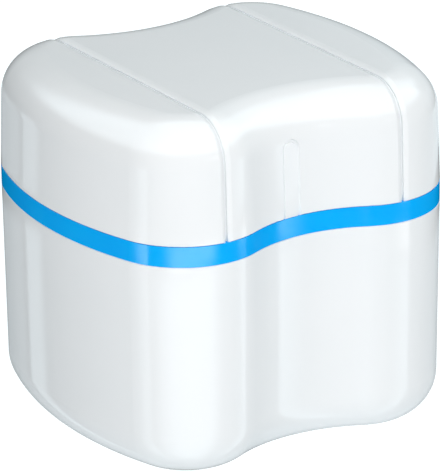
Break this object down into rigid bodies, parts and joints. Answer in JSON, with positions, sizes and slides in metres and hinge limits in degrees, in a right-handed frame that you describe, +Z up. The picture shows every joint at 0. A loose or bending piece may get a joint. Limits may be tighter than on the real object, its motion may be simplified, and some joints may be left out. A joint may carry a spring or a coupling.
{
  "type": "denture case",
  "caption": "Rounded, waisted denture case: a cup, a slotted strainer basket whose rim is the band round the middle, and a lid that opens on a hinge at the back.",
  "frame": {"origin": "middle of the foot, on the surface that the case stands on", "axes": "+X across the case to the right as seen from the front, -Y to the front (the side with the flute), +Z up"},
  "size_m": [0.088, 0.0842, 0.0815],
  "materials": {
    "white_shell": "glossy white moulded plastic",
    "blue_strainer": "glossy clear blue moulded plastic",
    "steel": "plain stainless steel",
    "silicone": "milky silicone"
  },
  "bodies": {
    "cup": {"cup": "white_shell"},
    "strainer": {"strainer": "blue_strainer", "hinge_pin": "steel", "cup_seal": "silicone"},
    "lid": {"lid": "white_shell", "lid_seal": "silicone"}
  },
  "joints": [
    {"name": "strainer_lift", "type": "slide", "parent": "cup", "child": "strainer", "axis": [0, 0, 1], "range_m": [0, 0.046]},
    {"name": "lid_hinge", "type": "hinge", "parent": "strainer", "child": "lid", "pos_m": [0, 0.04185, 0.0551], "axis": [-1, 0, 0], "range_deg": [0, 110]}
  ]
}
